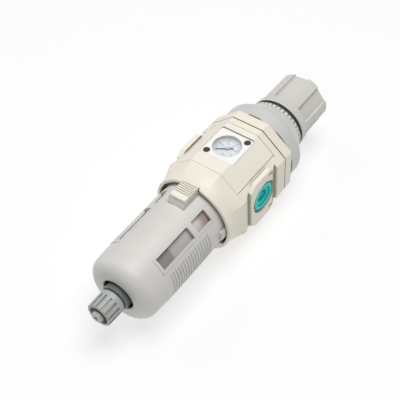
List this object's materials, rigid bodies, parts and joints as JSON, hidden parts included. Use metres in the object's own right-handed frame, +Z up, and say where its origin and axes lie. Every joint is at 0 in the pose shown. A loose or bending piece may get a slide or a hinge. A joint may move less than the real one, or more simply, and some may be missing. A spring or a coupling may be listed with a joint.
{
  "type": "air filter regulator",
  "caption": "In-line compressed-air filter regulator with a gauge, a push-lock adjusting knob, and a guarded bowl with a lock button and a drain.",
  "frame": {"origin": "where the line through the two ports crosses the main axis", "axes": "+Z up along the main axis towards the knob, -Y towards the gauge, +X from the inlet to the outlet"},
  "size_m": [0.0632, 0.0644, 0.2425],
  "materials": {
    "body_paint": "satin",
    "cover_plastic": "fine satin",
    "gauge_white": "smooth",
    "dial_face": "printed",
    "needle_paint": "matt",
    "clear_lens": "polished",
    "ring_grey": "satin",
    "collar_white": "satin",
    "lock_ring_dark": "matt",
    "knob_grey": "fine texture",
    "guard_grey": "satin",
    "bowl_clear": "smoked, translucent",
    "plug_teal": "soft satin",
    "drain_grey": "satin",
    "nipple_pale": "satin",
    "brass": "turned",
    "steel": "zinc plated",
    "spring_steel": "drawn wire",
    "rubber": "moulded",
    "inner_plastic": "moulded",
    "filter_white": "sintered, porous"
  },
  "bodies": {
    "root": {"body": "body_paint", "front_cover": "cover_plastic", "rear_cover": "cover_plastic", "rear_gauge_plug": "brass", "gauge_case": "gauge_white", "gauge_dial": "dial_face", "gauge_movement": "brass", "gauge_lens": "clear_lens", "gauge_seal": "rubber", "gauge_screws": "steel", "valve_seat": "inner_plastic", "valve_spring": "spring_steel", "valve_guide": "inner_plastic", "guide_o_ring": "rubber", "diaphragm": "rubber", "bonnet": "body_paint", "bonnet_screws": "steel", "bonnet_ring": "ring_grey", "bonnet_collar": "collar_white", "lock_ring": "lock_ring_dark", "adjusting_spring": "spring_steel", "louver": "inner_plastic", "filter_element": "filter_white", "baffle": "inner_plastic", "element_bolt": "inner_plastic"},
    "adjusting_screw": {"adjusting_screw": "steel"},
    "knob": {"knob": "knob_grey"},
    "spring_nut": {"spring_nut": "steel"},
    "valve": {"valve_stem": "brass", "valve_disc": "rubber", "lower_diaphragm_plate": "steel", "upper_diaphragm_plate": "steel", "stem_nut": "brass"},
    "needle": {"gauge_needle": "needle_paint"},
    "bowl": {"bowl": "bowl_clear", "bowl_o_ring": "rubber", "bowl_guard": "guard_grey", "lock_spring": "spring_steel", "drain_body": "drain_grey", "drain_seal": "rubber", "drain_collar": "drain_grey"},
    "lock_button": {"lock_button": "cover_plastic"},
    "drain_knob": {"drain_knob": "drain_grey"},
    "drain_stem": {"drain_stem": "nipple_pale"},
    "inlet_plug": {"inlet_plug": "plug_teal"},
    "outlet_plug": {"outlet_plug": "plug_teal"}
  },
  "joints": [
    {"name": "pressure_adjust", "type": "hinge", "parent": "root", "child": "adjusting_screw", "pos_m": [0, 0, 0.067], "axis": [0, 0, 1], "range_deg": [-1800, 0]},
    {"name": "knob_lock", "type": "slide", "parent": "adjusting_screw", "child": "knob", "axis": [0, 0, 1], "range_m": [-0.003, 0]},
    {"name": "spring_nut_travel", "type": "slide", "parent": "root", "child": "spring_nut", "axis": [0, 0, 1], "range_m": [-0.0063, 0], "deforming": ["adjusting_spring"]},
    {"name": "valve_stroke", "type": "slide", "parent": "root", "child": "valve", "axis": [0, 0, 1], "range_m": [-0.0015, 0], "stiffness_N_per_m": 4000, "springref_m": 0.001, "deforming": ["valve_spring", "diaphragm"]},
    {"name": "gauge_needle_turn", "type": "hinge", "parent": "root", "child": "needle", "pos_m": [0, -0.031, 0.00125], "axis": [0, 1, 0], "range_deg": [0, 248]},
    {"name": "bowl_removal", "type": "slide", "parent": "root", "child": "bowl", "axis": [0, 0, 1], "range_m": [-0.07, 0]},
    {"name": "lock_button_press", "type": "slide", "parent": "bowl", "child": "lock_button", "axis": [0, 0, 1], "range_m": [-0.003, 0], "stiffness_N_per_m": 300, "springref_m": 0.002, "deforming": ["lock_spring"]},
    {"name": "drain_turn", "type": "hinge", "parent": "bowl", "child": "drain_knob", "pos_m": [0, 0, -0.13], "axis": [0, 0, 1], "range_deg": [0, 180]},
    {"name": "drain_stem_lift", "type": "slide", "parent": "bowl", "child": "drain_stem", "axis": [0, 0, 1], "range_m": [0, 0.00101]},
    {"name": "inlet_plug_pull", "type": "slide", "parent": "root", "child": "inlet_plug", "axis": [-1, 0, 0], "range_m": [0, 0.015]},
    {"name": "outlet_plug_pull", "type": "slide", "parent": "root", "child": "outlet_plug", "axis": [1, 0, 0], "range_m": [0, 0.015]}
  ],
  "couplings": [
    {"joint": "spring_nut_travel", "follows": "pressure_adjust", "m_per_rad": 0.00019894},
    {"joint": "drain_stem_lift", "follows": "drain_turn", "m_per_rad": 0.00031831}
  ]
}
